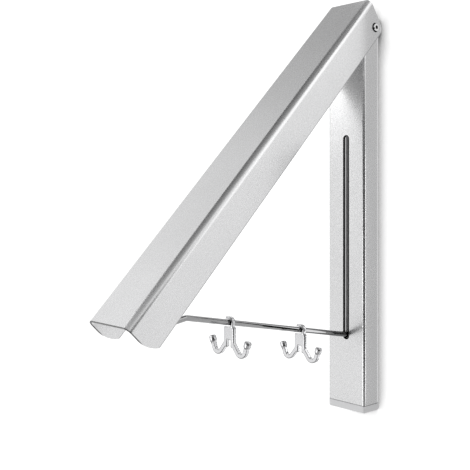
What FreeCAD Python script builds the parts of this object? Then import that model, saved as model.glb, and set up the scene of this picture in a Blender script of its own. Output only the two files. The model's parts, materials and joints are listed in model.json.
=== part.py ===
# Folding wall clothing rack, shown open, as it hangs ready for use.
# The frame: +X to the right along the wall, +Y into the wall, +Z up.
# The wall is the plane Y = 0, and the origin is the middle of the four wall screw holes.
import FreeCAD
import Part
import math
import os

V = FreeCAD.Vector
X_AXIS = V(1, 0, 0)
Y_AXIS = V(0, 1, 0)
Z_AXIS = V(0, 0, 1)

# Wall base: a lipped channel, open to the wall
base_width = 54.0
base_depth = 26.0
base_wall = 1.5
base_corner = 3.0
base_lip = 5.5
base_above_pin = 11.0
base_tail_length = 31.0

# Wall screw holes, two in each bracket
hole_spacing_across = 24.0
hole_spacing_up = 350.0
wall_hole = 5.0
pin_above_upper_holes = 58.0
pin_height = hole_spacing_up / 2 + pin_above_upper_holes
pin_from_wall = 12.0
base_below_pin = hole_spacing_up + pin_above_upper_holes + base_tail_length

# Cover: a deeper channel that closes over the base
cover_side_room = 3.5
cover_depth = 40.0
cover_wall = 1.5
cover_width = base_width + 2 * (cover_side_room + cover_wall)
cover_corner = 7.5
cover_wall_clearance = 0.5
cover_above_pin = 16.5
cover_tail_length = 27.0
cover_below_pin = base_below_pin + cover_tail_length
cover_end_rise = 10.0
cover_end_flat = 16.0
cover_end_fillet = 3.0
open_angle = 45.0

# Slot in the face of the base, and its black liner
slot_top_below_pin = 124.0
slot_bottom_below_pin = 364.5
slot_width = 8.8
liner_lip = 0.8
liner_thick = 1.2
liner_border = 8.5
liner_end_border = 6.0
liner_proud = 0.2

# Hanging rod with its cranked outer end
rod_diameter = 6.0
rod_pivot_above_cover_end = 11.0
rod_pivot_below_pin = cover_below_pin - rod_pivot_above_cover_end
rod_pivot_ahead = 19.5
rod_end_below_pin = 360.0
rod_end_overrun = 4.5
crank_start = 60.0
crank_finish = 78.0
crank_start_offset = 1.2
crank_finish_offset = 7.0
rod_bend = 14.0

# Rod pivot inside the lower end of the cover
sleeve_diameter = 9.0
sleeve_length = 10.6
pivot_pin_diameter = 5.0
pivot_pin_head = 8.0
pivot_pin_head_thick = 1.2
bracket_sheet = 1.5
bracket_length = 40.0
bracket_tail = 6.0
bracket_width = 26.0
bracket_ear_radius = 5.0
stud_diameter = 3.0
stud_length = 4.6
stud_inset = 4.5
stud_above_pivot = 10.5
nut_flats = 5.5
nut_thick = 2.4
clip_diameter = 8.0
clip_thick = 0.7
clip_groove_depth = 0.5

# Cross pin and guide rollers behind the slot
cross_pin_diameter = 4.0
cross_pin_length = 25.0
roller_diameter = 8.0
roller_length = 7.4
roller_from_centre = 4.4
roller_gap = 0.25

# Upper hinge
hinge_tube_diameter = 9.0
hinge_thread = 5.0
hinge_thread_length = 11.0
hinge_shoulder = 6.0
hinge_head = 8.4
hinge_head_thick = 1.8
hinge_head_edge = 0.4
hinge_socket = 4.0
hinge_socket_depth = 1.2
hinge_bush_barrel = 10.8
hinge_bush_flange = 14.0
hinge_washer_diameter = 12.0
hinge_washer_thick = 0.6

# Wall brackets
bracket_plate_thick = 2.0
bracket_plate_height = 50.0
bracket_side_room = 2.5
bracket_joggle_run = 1.8
bracket_corner = 4.0
cradle_reach = 18.0
lock_tab_reach = 19.0
lock_tab_thick = 3.0
lock_tab_half = 7.0

# Bottom cap and its lock screw
cap_thick = 8.0
cap_edge = 1.0
plug_height = 10.0
plug_wall = 2.0
lock_screw_diameter = 4.0
lock_screw_head = 7.5
lock_screw_head_thick = 2.6
lock_screw_recess = 0.6
lock_screw_point = 4.0
lock_socket = 3.0
lock_socket_depth = 1.5

# Rubber buffer under the rollers
buffer_half_width = 12.5
buffer_height = 7.0
buffer_depth = 6.0
buffer_edge = 1.5

# Double hooks that clip over the rod
hook_thick = 4.6
hook_ring_wall = 2.6
hook_slack = 0.9
hook_hang = 0.25
hook_lip = 3.6
hook_plate_half = 7.6
hook_plate_drop = 25.0
hook_notch_half = 3.0
hook_notch_rise = 8.0
hook_plate_corner = 1.2
hook_arm_width = 4.6
hook_arm_edge = 0.8
hook_low = 38.5
hook_low_out = 19.6
hook_bend = 6.5
hook_root_out = 5.3
hook_root_drop = 21.0
hook_tip_out = 26.0
hook_tip_drop = 19.5
hook_knob = 8.0
front_hook_from_rod_end = 196.0
rear_hook_from_rod_end = 87.5

# Clearances
running_gap = 0.05
seat_gap = 0.05
side_gap = 0.3
cut_overrun = 5.0

# Flats of nuts and sockets
hexagon_sides = 6


def polygon_prism(points, direction):
    """A prism from a closed polygon of points."""
    wire = Part.makePolygon(points + [points[0]])
    return Part.Face(wire).extrude(direction)


def block(low, high):
    """A block between two opposite corners."""
    size = high - low
    return Part.makeBox(size.x, size.y, size.z, low)


def rod_x(radius, left, right, y, z):
    """A cylinder along X between two planes."""
    return Part.makeCylinder(radius, right - left, V(left, y, z), X_AXIS)


def hexagon_corners(flats):
    """The corners of a hexagon round zero, as pairs, from its width over the flats."""
    corner = flats / 2 / math.cos(math.pi / hexagon_sides)
    turns = [2 * math.pi * k / hexagon_sides for k in range(hexagon_sides)]
    return [(corner * math.cos(t), corner * math.sin(t)) for t in turns]


def hexagon_x(flats, left, right, y, z):
    """A hexagonal prism along X."""
    points = [V(left, y + a, z + b) for a, b in hexagon_corners(flats)]
    return polygon_prism(points, V(right - left, 0, 0))


def hexagon_y(flats, start, length, x, z):
    """A hexagonal prism along Y."""
    points = [V(x + a, start, z + b) for a, b in hexagon_corners(flats)]
    return polygon_prism(points, V(0, length, 0))


def hexagon_z(flats, start, length, x, y):
    """A hexagonal prism along Z."""
    points = [V(x + a, y + b, start) for a, b in hexagon_corners(flats)]
    return polygon_prism(points, V(0, 0, length))


def fillet_where(shape, radius, wanted):
    """Round the edges for which wanted(edge) is true."""
    edges = [edge for edge in shape.Edges if wanted(edge)]
    return shape.makeFillet(radius, edges) if edges else shape


def chamfer_where(shape, size, wanted):
    """Bevel the edges for which wanted(edge) is true."""
    edges = [edge for edge in shape.Edges if wanted(edge)]
    return shape.makeChamfer(size, edges) if edges else shape


def along(edge, axis):
    """True for a straight edge that runs along the given axis."""
    if not isinstance(edge.Curve, Part.Line):
        return False
    return abs(abs(edge.tangentAt(edge.FirstParameter).dot(axis)) - 1) < 1e-6


def mirrored(shape):
    """The left-hand twin of a right-hand piece."""
    return shape.mirror(V(0, 0, 0), X_AXIS)


def pair(shape):
    """A right-hand piece and its left-hand twin."""
    return Part.makeCompound([shape, mirrored(shape)])


# Heights on the base, and shared places
base_top = pin_height + base_above_pin
base_bottom = pin_height - base_below_pin
slot_top = pin_height - slot_top_below_pin
slot_bottom = pin_height - slot_bottom_below_pin
base_half = base_width / 2
base_inner_half = base_half - base_wall
bracket_plate_half = base_inner_half - base_lip - bracket_side_room
face_inside = -base_depth + base_wall
rod_end_from_wall = -face_inside - seat_gap - liner_thick - roller_gap - roller_diameter / 2
cover_half = cover_width / 2
cover_inner_half = cover_half - cover_wall
cover_back = pin_from_wall - cover_wall_clearance
cover_front = cover_depth - cover_back
pin_centre = V(0, -pin_from_wall, pin_height)


def opened(shape):
    """Swing a piece of the closed cover out to its open place."""
    turned = shape.copy()
    turned.rotate(pin_centre, X_AXIS, -open_angle)
    return turned


def cover_point(ahead, below):
    """A point of the open cover, ahead of and below the hinge pin."""
    angle = math.radians(open_angle)
    out = below * math.sin(angle) + ahead * math.cos(angle)
    down = below * math.cos(angle) - ahead * math.sin(angle)
    return V(0, -pin_from_wall - out, pin_height - down)


rod_pivot = cover_point(rod_pivot_ahead, rod_pivot_below_pin)
rod_end = V(0, -rod_end_from_wall, pin_height - rod_end_below_pin)
rod_span = (rod_end - rod_pivot).Length
rod_along = (rod_end - rod_pivot) / rod_span
rod_above = V(0, -rod_along.z, rod_along.y)


def rod_point(distance, offset):
    """A point at a distance from the rod's pivot, offset above its chord."""
    return rod_pivot + rod_along * distance + rod_above * offset


# Base


def base_section():
    """The channel's closed section, walls and rear lips, at Z = 0."""
    outer = block(V(-base_half, -base_depth, 0), V(base_half, 0, 1))
    outer = fillet_where(outer, base_corner, lambda e: along(e, Z_AXIS) and e.Vertexes[0].Y < -base_wall)
    hollow = block(V(-base_inner_half, face_inside, 0), V(base_inner_half, -base_wall, 1))
    inner_corner = base_corner - base_wall
    hollow = fillet_where(hollow, inner_corner, lambda e: along(e, Z_AXIS) and e.Vertexes[0].Y < -base_depth / 2)
    mouth_half = base_inner_half - base_lip
    mouth = block(V(-mouth_half, -base_depth / 2, 0), V(mouth_half, cut_overrun, 1))
    shape = outer.cut(hollow).cut(mouth)
    floor = [face for face in shape.Faces if abs(face.CenterOfMass.z) < 1e-6]
    return floor[0]


def slot_prism(width, top, bottom, front, back):
    """A slot with round ends, as a solid along Y."""
    radius = width / 2
    bar = block(V(-radius, front, bottom + radius), V(radius, back, top - radius))
    for height in (bottom + radius, top - radius):
        bar = bar.fuse(Part.makeCylinder(radius, back - front, V(0, front, height), Y_AXIS))
    return bar.removeSplitter()


def base_channel():
    """Extruded aluminium base with its slot and hinge holes."""
    section = base_section()
    section.translate(V(0, 0, base_bottom))
    body = section.extrude(V(0, 0, base_top - base_bottom))
    cutter = slot_prism(slot_width, slot_top, slot_bottom, -base_depth - cut_overrun, -base_depth / 2)
    body = body.cut(cutter)
    reach = base_half + cut_overrun
    hole = rod_x(hinge_thread / 2 + side_gap / 2, -reach, reach, -pin_from_wall, pin_height)
    return body.cut(hole)


def slot_liner():
    """Black plastic track behind the face, with a lip through the slot."""
    half = slot_width / 2 + liner_border
    front = face_inside + seat_gap
    back = front + liner_thick
    top = slot_top + liner_end_border
    bottom = slot_bottom - liner_end_border
    plate = block(V(-half, front, bottom), V(half, back, top))
    plate = fillet_where(plate, liner_end_border / 2, lambda e: along(e, Y_AXIS))
    lip_width = slot_width - 2 * seat_gap
    lip_front = -base_depth - liner_proud
    lip = slot_prism(lip_width, slot_top - seat_gap, slot_bottom + seat_gap, lip_front, back)
    clear_width = lip_width - 2 * liner_lip
    way = slot_prism(clear_width, slot_top - liner_lip, slot_bottom + liner_lip, lip_front - cut_overrun,
                     back + cut_overrun)
    return plate.fuse(lip).cut(way).removeSplitter()


def slot_buffer():
    """Rubber buffer on which the rollers come to rest."""
    front = face_inside + seat_gap + liner_thick + seat_gap
    top = rod_end.z - roller_diameter / 2 - side_gap
    low = V(-buffer_half_width, front, top - buffer_height)
    high = V(buffer_half_width, front + buffer_depth, top)
    body = block(low, high)
    return fillet_where(body, buffer_edge, lambda e: along(e, X_AXIS) and e.Vertexes[0].Y > front + seat_gap)


# Wall brackets


def bracket_section(bottom):
    """The stepped section of a wall bracket: its middle lies on the wall, its wings clear the lips."""
    step = base_wall + side_gap
    inner = bracket_plate_half
    outer = inner + bracket_joggle_run
    wing = base_inner_half - side_gap
    thick = bracket_plate_thick
    right = [(inner, 0), (outer, -step), (wing, -step), (wing, -step - thick), (outer, -step - thick),
             (inner, -thick)]
    left = [(-x, y) for x, y in reversed(right)]
    return [V(x, y, bottom) for x, y in right + left]


def bracket_body(middle, low, high):
    """A bracket plate with its two wall screw holes."""
    plate = polygon_prism(bracket_section(low), V(0, 0, high - low))
    for side in (-1, 1):
        x = side * hole_spacing_across / 2
        start = V(x, -base_depth / 2, middle)
        plate = plate.cut(Part.makeCylinder(wall_hole / 2, base_depth, start, Y_AXIS))
    return plate


def upper_wall_bracket():
    """Upper bracket, with a cradle under the hinge tube."""
    middle = hole_spacing_up / 2
    cradle_top = pin_height - hinge_tube_diameter / 2 - side_gap
    cradle_low = cradle_top - bracket_plate_thick
    plate = bracket_body(middle, middle - bracket_plate_height / 2, cradle_top)
    shelf = block(V(-bracket_plate_half, -cradle_reach, cradle_low), V(bracket_plate_half, 0, cradle_top))
    shelf = fillet_where(shelf, bracket_corner, lambda e: along(e, Z_AXIS) and e.Vertexes[0].Y < -base_depth / 2)
    return plate.fuse(shelf).removeSplitter()


def lower_wall_bracket():
    """Lower bracket, with a tab that takes the lock screw."""
    middle = -hole_spacing_up / 2
    low = middle - bracket_plate_height / 2
    plate = bracket_body(middle, low, middle + bracket_plate_height / 2)
    tab = block(V(-lock_tab_half, -lock_tab_reach, low), V(lock_tab_half, 0, low + lock_tab_thick))
    tab = fillet_where(tab, bracket_corner, lambda e: along(e, Z_AXIS) and e.Vertexes[0].Y < -base_depth / 2)
    thread = Part.makeCylinder(lock_screw_diameter / 2 + seat_gap, lock_tab_thick + 2 * cut_overrun,
                               V(0, -pin_from_wall, low - cut_overrun), Z_AXIS)
    return plate.fuse(tab).cut(thread).removeSplitter()


# Bottom cap


def bottom_cap():
    """Cap that closes the lower end, with a hollow plug inside the channel."""
    top = base_bottom - seat_gap
    bottom = top - cap_thick
    plate = block(V(-base_half, -base_depth, bottom), V(base_half, 0, top))
    plate = fillet_where(plate, base_corner, lambda e: along(e, Z_AXIS) and e.Vertexes[0].Y < -base_wall)
    plate = chamfer_where(plate, cap_edge, lambda e: abs(e.BoundBox.ZMax - bottom) < 1e-6)
    half = base_inner_half - side_gap
    rear = -(base_wall + side_gap + bracket_plate_thick + side_gap)
    plug = block(V(-half, face_inside + side_gap, top), V(half, rear, top + plug_height))
    plug = fillet_where(plug, base_corner - base_wall, lambda e: along(e, Z_AXIS) and e.Vertexes[0].Y < -base_depth / 2)
    room = block(V(-half + plug_wall, face_inside + side_gap + plug_wall, top),
                 V(half - plug_wall, rear + cut_overrun, top + plug_height + cut_overrun))
    shape = plate.fuse(plug.cut(room))
    shank_hole = lock_screw_diameter / 2 + side_gap
    shape = shape.cut(Part.makeCylinder(shank_hole, cap_thick + 2 * cut_overrun,
                                        V(0, -pin_from_wall, bottom - cut_overrun), Z_AXIS))
    recess_depth = lock_screw_head_thick + lock_screw_recess
    recess = Part.makeCylinder(lock_screw_head / 2 + side_gap, recess_depth + cut_overrun,
                               V(0, -pin_from_wall, bottom - cut_overrun), Z_AXIS)
    return shape.cut(recess).removeSplitter()


def lock_screw():
    """Socket screw that locks the base to the lower bracket."""
    bottom = base_bottom - seat_gap - cap_thick
    head_low = bottom + lock_screw_recess - seat_gap
    head = Part.makeCylinder(lock_screw_head / 2, lock_screw_head_thick, V(0, -pin_from_wall, head_low), Z_AXIS)
    tab_top = -hole_spacing_up / 2 - bracket_plate_height / 2 + lock_tab_thick
    shank_top = tab_top + lock_screw_point
    shank = Part.makeCylinder(lock_screw_diameter / 2, shank_top - head_low, V(0, -pin_from_wall, head_low), Z_AXIS)
    socket = hexagon_z(lock_socket, head_low - cut_overrun, lock_socket_depth + cut_overrun, 0, -pin_from_wall)
    return head.fuse(shank).cut(socket).removeSplitter()


# Upper hinge


def hinge_tube():
    """Threaded spacer across the inside of the base."""
    half = base_inner_half - seat_gap
    bar = rod_x(hinge_tube_diameter / 2, -half, half, -pin_from_wall, pin_height)
    depth = hinge_thread_length + cut_overrun
    for left in (-half - cut_overrun, half - hinge_thread_length):
        bore = rod_x(hinge_thread / 2 + running_gap, left, left + depth, -pin_from_wall, pin_height)
        bar = bar.cut(bore)
    return bar


def hinge_screws():
    """Two shoulder screws, fixed in the base, on which the cover turns."""
    y, z = -pin_from_wall, pin_height
    shoulder_start = base_half + seat_gap
    head_start = cover_half + side_gap + seat_gap
    head_end = head_start + hinge_head_thick
    head = rod_x(hinge_head / 2, head_start, head_end, y, z)
    head = chamfer_where(head, hinge_head_edge, lambda e: e.BoundBox.XMin > head_end - seat_gap)
    shoulder = rod_x(hinge_shoulder / 2, shoulder_start, head_start, y, z)
    thread_start = base_inner_half - hinge_thread_length + side_gap + seat_gap
    thread = rod_x(hinge_thread / 2, thread_start, shoulder_start, y, z)
    socket = hexagon_x(hinge_socket, head_end - hinge_socket_depth, head_end + cut_overrun, y, z)
    return pair(head.fuse(shoulder).fuse(thread).cut(socket).removeSplitter())


def hinge_washers():
    """Thin washers between the base and the bushes."""
    start = base_half + seat_gap
    y, z = -pin_from_wall, pin_height
    ring = rod_x(hinge_washer_diameter / 2, start, start + hinge_washer_thick, y, z)
    bore = hinge_shoulder / 2 + running_gap
    return pair(ring.cut(rod_x(bore, 0, cover_half, y, z)))


def hinge_bushes():
    """Flanged nylon bushes in the side walls of the cover."""
    y, z = -pin_from_wall, pin_height
    flange_start = base_half + seat_gap + hinge_washer_thick + side_gap / 2
    flange_end = cover_inner_half - seat_gap
    flange = rod_x(hinge_bush_flange / 2, flange_start, flange_end, y, z)
    barrel = rod_x(hinge_bush_barrel / 2, flange_end, cover_half + seat_gap, y, z)
    bore = rod_x(hinge_shoulder / 2 + running_gap, 0, cover_half + cut_overrun, y, z)
    return opened(pair(flange.fuse(barrel).cut(bore).removeSplitter()))


# Cover


def cover_section():
    """The cover's U section, open to the wall, at Z = 0."""
    front = -pin_from_wall - cover_front
    back = -pin_from_wall + cover_back
    outer = block(V(-cover_half, front, 0), V(cover_half, back, 1))
    middle = (front + back) / 2
    outer = fillet_where(outer, cover_corner, lambda e: along(e, Z_AXIS) and e.Vertexes[0].Y < middle)
    inner_front = front + cover_wall
    hollow = block(V(-cover_inner_half, inner_front, 0), V(cover_inner_half, back + cut_overrun, 1))
    inner_corner = cover_corner - cover_wall
    hollow = fillet_where(hollow, inner_corner, lambda e: along(e, Z_AXIS) and e.Vertexes[0].Y < middle)
    shape = outer.cut(hollow)
    return [face for face in shape.Faces if abs(face.CenterOfMass.z) < 1e-6][0]


def cover_outline():
    """Side view of the closed cover, with its rounded upper corner and swept lower end."""
    left = -cover_half - cut_overrun

    def place(ahead, up):
        return V(left, -pin_from_wall - ahead, pin_height + up)

    radius = cover_back
    distance = math.hypot(cover_front, cover_above_pin)
    tangent_turn = math.atan2(cover_above_pin, cover_front) + math.acos(radius / distance)
    tangent = (radius * math.cos(tangent_turn), radius * math.sin(tangent_turn))
    halfway_turn = (tangent_turn + math.pi) / 2
    halfway = (radius * math.cos(halfway_turn), radius * math.sin(halfway_turn))
    end_run = cover_front - cover_end_flat + cover_back
    end_radius = (end_run ** 2 + cover_end_rise ** 2) / (2 * cover_end_rise)
    half_turn = math.asin(end_run / end_radius) / 2
    flat_ahead = cover_front - cover_end_flat
    end_middle = (flat_ahead - end_radius * math.sin(half_turn),
                  -cover_below_pin + end_radius * (1 - math.cos(half_turn)))
    back_low = (-cover_back, -cover_below_pin + cover_end_rise)
    edges = [
        Part.makeLine(place(cover_front, cover_above_pin), place(*tangent)),
        Part.Arc(place(*tangent), place(*halfway), place(-cover_back, 0)).toShape(),
        Part.makeLine(place(-cover_back, 0), place(*back_low)),
        Part.Arc(place(*back_low), place(*end_middle), place(flat_ahead, -cover_below_pin)).toShape(),
        Part.makeLine(place(flat_ahead, -cover_below_pin), place(cover_front, -cover_below_pin)),
        Part.makeLine(place(cover_front, -cover_below_pin), place(cover_front, cover_above_pin)),
    ]
    face = Part.Face(Part.Wire(edges))
    prism = face.extrude(V(cover_width + 2 * cut_overrun, 0, 0))
    corner = place(*back_low)

    def at_corner(edge):
        middle = edge.CenterOfMass
        return along(edge, X_AXIS) and abs(middle.y - corner.y) < seat_gap and abs(middle.z - corner.z) < seat_gap

    return fillet_where(prism, cover_end_fillet, at_corner)


def cover_channel():
    """Aluminium cover with its hinge holes."""
    section = cover_section()
    section.translate(V(0, 0, pin_height - cover_below_pin - cut_overrun))
    body = section.extrude(V(0, 0, cover_above_pin + cover_below_pin + 2 * cut_overrun))
    body = body.common(cover_outline())
    reach = cover_half + cut_overrun
    hole = rod_x(hinge_bush_barrel / 2 + seat_gap, -reach, reach, -pin_from_wall, pin_height)
    return opened(body.cut(hole))


# Rod pivot, modelled on the closed cover and swung open with it

web_inside = -pin_from_wall - cover_front + cover_wall
pivot_y = -pin_from_wall - rod_pivot_ahead
pivot_z = pin_height - rod_pivot_below_pin
ear_inside = sleeve_length / 2 + side_gap
ear_outside = ear_inside + bracket_sheet
plate_front = web_inside + seat_gap
plate_back = plate_front + bracket_sheet


def stud_places():
    """The four fixing places of the pivot bracket, as X and Z."""
    across = bracket_width / 2 - stud_inset
    heights = (pivot_z + stud_above_pivot, pivot_z - bracket_tail + bracket_length - stud_inset)
    return [(side * across, height) for side in (-1, 1) for height in heights]


def pivot_bracket():
    """Pressed bracket on the inside of the cover, with two ears for the pivot pin."""
    half = bracket_width / 2
    low = pivot_z - bracket_tail
    high = low + bracket_length
    plate = block(V(-half, plate_front, low), V(half, plate_back, high))
    plate = chamfer_where(plate, stud_diameter, lambda e: along(e, Y_AXIS))
    ear = rod_x(bracket_ear_radius, ear_inside, ear_outside, pivot_y, pivot_z)
    foot = block(V(ear_inside, plate_front, pivot_z - bracket_ear_radius),
                 V(ear_outside, pivot_y, pivot_z + bracket_ear_radius))
    ear = ear.fuse(foot)
    shape = plate.fuse(ear).fuse(mirrored(ear))
    bore = rod_x(pivot_pin_diameter / 2 + running_gap, -half, half, pivot_y, pivot_z)
    shape = shape.cut(bore)
    for x, z in stud_places():
        hole = Part.makeCylinder(stud_diameter / 2 + seat_gap, bracket_sheet + 2 * cut_overrun,
                                 V(x, plate_front - cut_overrun, z), Y_AXIS)
        shape = shape.cut(hole)
    return opened(shape.removeSplitter())


def bracket_studs():
    """Studs welded to the inside of the cover, so that its face stays plain."""
    studs = [Part.makeCylinder(stud_diameter / 2, stud_length, V(x, web_inside, z), Y_AXIS)
             for x, z in stud_places()]
    return opened(Part.makeCompound(studs))


def bracket_nuts():
    """Nuts that hold the pivot bracket on its studs."""
    nuts = []
    for x, z in stud_places():
        start = plate_back + seat_gap
        nut = hexagon_y(nut_flats, start, nut_thick, x, z)
        bore = Part.makeCylinder(stud_diameter / 2 + running_gap, nut_thick, V(x, start, z), Y_AXIS)
        nuts.append(nut.cut(bore))
    return opened(Part.makeCompound(nuts))


def clip_start():
    """Inner face of the clip on the pivot pin."""
    return ear_outside + side_gap


def pivot_pin():
    """Headed pin on which the rod turns, with a groove for its clip."""
    left = -ear_outside - seat_gap
    right = clip_start() + clip_thick + side_gap + pivot_pin_head_thick
    pin = rod_x(pivot_pin_diameter / 2, left, right, pivot_y, pivot_z)
    head = rod_x(pivot_pin_head / 2, left - pivot_pin_head_thick, left, pivot_y, pivot_z)
    groove_end = clip_start() + clip_thick + seat_gap
    ring = rod_x(pivot_pin_diameter / 2 + cut_overrun, clip_start() - seat_gap, groove_end, pivot_y, pivot_z)
    core = rod_x(pivot_pin_diameter / 2 - clip_groove_depth, clip_start() - seat_gap, groove_end, pivot_y, pivot_z)
    return opened(pin.fuse(head).cut(ring.cut(core)))


def pivot_clip():
    """Open retaining clip in the groove of the pivot pin."""
    start = clip_start()
    end = start + clip_thick
    ring = rod_x(clip_diameter / 2, start, end, pivot_y, pivot_z)
    inner = pivot_pin_diameter / 2 - clip_groove_depth + running_gap
    ring = ring.cut(rod_x(inner, start - cut_overrun, end + cut_overrun, pivot_y, pivot_z))
    mouth = block(V(start - cut_overrun, pivot_y, pivot_z - inner),
                  V(end + cut_overrun, pivot_y + clip_diameter, pivot_z + inner))
    return opened(ring.cut(mouth))


# Rod


def corner_arc(before, corner, after, bend):
    """Start, middle and end of the arc that rounds a corner, and its centre."""
    into = (corner - before).normalize()
    out = (after - corner).normalize()
    turn = into.getAngle(out)
    back = bend * math.tan(turn / 2)
    inward = (out - into).normalize()
    centre = corner + inward * (bend / math.cos(turn / 2))
    return corner - into * back, centre - inward * bend, corner + out * back, centre


def bent_bar(points, radius, bend):
    """A round bar through points, with an arc at each corner."""
    edges = []
    start = points[0]
    for before, corner, after in zip(points, points[1:], points[2:]):
        arc_start, arc_middle, arc_end, centre = corner_arc(before, corner, after, bend)
        edges.append(Part.makeLine(start, arc_start))
        edges.append(Part.Arc(arc_start, arc_middle, arc_end).toShape())
        start = arc_end
    edges.append(Part.makeLine(start, points[-1]))
    path = Part.Wire(edges)
    direction = (points[1] - points[0]).normalize()
    section = Part.Wire(Part.makeCircle(radius, points[0], direction))
    return path.makePipeShell([section], True, False)


def hanging_rod():
    """Steel rod, cranked at its outer end, welded to the pivot sleeve."""
    points = [
        rod_pivot,
        rod_point(crank_start, crank_start_offset),
        rod_point(crank_finish, crank_finish_offset),
        rod_end,
    ]
    last = (points[3] - points[2]).normalize()
    points[3] = rod_end + last * rod_end_overrun
    rod = bent_bar(points, rod_diameter / 2, rod_bend)
    half = sleeve_length / 2
    rod = rod.cut(rod_x(sleeve_diameter / 2, -half, half, rod_pivot.y, rod_pivot.z))
    return rod.cut(rod_x(cross_pin_diameter / 2, -rod_diameter, rod_diameter, rod_end.y, rod_end.z))


def rod_sleeve():
    """Sleeve at the outer end of the rod, round the pivot pin."""
    half = sleeve_length / 2
    tube = rod_x(sleeve_diameter / 2, -half, half, rod_pivot.y, rod_pivot.z)
    bore = pivot_pin_diameter / 2 + running_gap
    return tube.cut(rod_x(bore, -sleeve_length, sleeve_length, rod_pivot.y, rod_pivot.z))


def cross_pin():
    """Pin across the inner end of the rod."""
    half = cross_pin_length / 2
    return rod_x(cross_pin_diameter / 2, -half, half, rod_end.y, rod_end.z)


def guide_rollers():
    """Nylon rollers that run behind the slot."""
    end = roller_from_centre + roller_length
    roller = rod_x(roller_diameter / 2, roller_from_centre, end, rod_end.y, rod_end.z)
    bore = rod_x(cross_pin_diameter / 2 + running_gap, 0, end + cut_overrun, rod_end.y, rod_end.z)
    return pair(roller.cut(bore))


# Hooks


def hook_place(distance):
    """Centre of the rod at a distance from its inner end."""
    finish = rod_point(crank_finish, crank_finish_offset)
    direction = (finish - rod_end).normalize()
    return rod_end + direction * distance


def hook_arm():
    """One flat-fronted arm of the hook, from its plate down and up again to the knob at its tip."""
    root = V(hook_root_out, -hook_thick / 2, -hook_root_drop)
    corner = V(hook_low_out, -hook_thick / 2, -hook_low)
    tip = V(hook_tip_out, -hook_thick / 2, -hook_tip_drop)
    start, middle, end, centre = corner_arc(root, corner, tip, hook_bend)
    sides = []
    for offset in (hook_arm_width / 2, -hook_arm_width / 2):
        inward = [(centre - point).normalize() * offset for point in (start, middle, end)]
        places = [root + inward[0], start + inward[0], middle + inward[1], end + inward[2], tip + inward[2]]
        sides.append(places)
    inner, outer = sides
    edges = []
    for a, b, c, d, e in sides:
        edges.append(Part.makeLine(a, b))
        edges.append(Part.Arc(b, c, d).toShape())
        edges.append(Part.makeLine(d, e))
    edges.append(Part.makeLine(inner[0], outer[0]))
    edges.append(Part.makeLine(inner[-1], outer[-1]))
    wire = Part.Wire(Part.__sortEdges__(edges))
    arm = Part.Face(wire).extrude(V(0, hook_thick, 0))
    arm = chamfer_where(arm, hook_arm_edge, lambda e: e.BoundBox.YLength < seat_gap)
    direction = (tip - corner).normalize()
    half = hook_knob / 2
    foot = tip + Y_AXIS * (hook_thick / 2) - direction * half
    knob = Part.makeCylinder(half, hook_knob, foot, direction)
    return arm.fuse(knob)


def double_hook(distance):
    """A cast double hook that hangs plumb: a clip open at one side, a plate and two arms."""
    half = hook_thick / 2
    inner = rod_diameter / 2 + hook_slack
    outer = inner + hook_ring_wall
    ring = Part.makeCylinder(outer, hook_thick, V(0, -half, 0), Y_AXIS)
    lip = block(V(-hook_lip, -half, 0), V(0, half, outer))
    plate = block(V(-hook_plate_half, -half, -hook_plate_drop), V(hook_plate_half, half, -inner))
    plate = fillet_where(plate, hook_plate_corner, lambda e: along(e, Y_AXIS))
    notch = block(V(-hook_notch_half, -half - cut_overrun, -hook_plate_drop - cut_overrun),
                  V(hook_notch_half, half + cut_overrun, -hook_plate_drop + hook_notch_rise))
    body = ring.fuse(lip).fuse(plate.cut(notch))
    bore = Part.makeCylinder(inner, hook_thick + 2 * cut_overrun, V(0, -half - cut_overrun, 0), Y_AXIS)
    way_out = block(V(-outer - cut_overrun, -half - cut_overrun, -inner), V(0, half + cut_overrun, inner))
    body = body.cut(bore).cut(way_out)
    arm = hook_arm()
    body = body.fuse(arm).fuse(mirrored(arm)).removeSplitter()
    body.translate(hook_place(distance) - Z_AXIS * hook_hang)
    return body


PIECES = {
    "base_channel": base_channel(),
    "slot_liner": slot_liner(),
    "slot_buffer": slot_buffer(),
    "upper_wall_bracket": upper_wall_bracket(),
    "lower_wall_bracket": lower_wall_bracket(),
    "bottom_cap": bottom_cap(),
    "lock_screw": lock_screw(),
    "hinge_tube": hinge_tube(),
    "hinge_screws": hinge_screws(),
    "hinge_washers": hinge_washers(),
    "hinge_bushes": hinge_bushes(),
    "cover_channel": cover_channel(),
    "pivot_bracket": pivot_bracket(),
    "bracket_studs": bracket_studs(),
    "bracket_nuts": bracket_nuts(),
    "pivot_pin": pivot_pin(),
    "pivot_clip": pivot_clip(),
    "hanging_rod": hanging_rod(),
    "rod_sleeve": rod_sleeve(),
    "cross_pin": cross_pin(),
    "guide_rollers": guide_rollers(),
    "front_hook": double_hook(front_hook_from_rod_end),
    "rear_hook": double_hook(rear_hook_from_rod_end),
}

os.makedirs("parts", exist_ok=True)
for name, shape in PIECES.items():
    shape.exportStep("parts/" + name + ".step")
    box = shape.BoundBox
    print(name, shape.isValid(), len(shape.Solids), round(shape.Volume, 1),
          [round(v, 1) for v in (box.XMin, box.XMax, box.YMin, box.YMax, box.ZMin, box.ZMax)])
print("rod span", round(rod_span, 2), "pivot", rod_pivot, "end", rod_end)
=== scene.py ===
"""Looks of the folding wall clothing rack: satin aluminium arm and base, polished rod and cast hooks."""
import json
import math

import bmesh
import bpy
from bpy.props import FloatProperty, FloatVectorProperty, PointerProperty
from mathutils import Matrix, Vector


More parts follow.
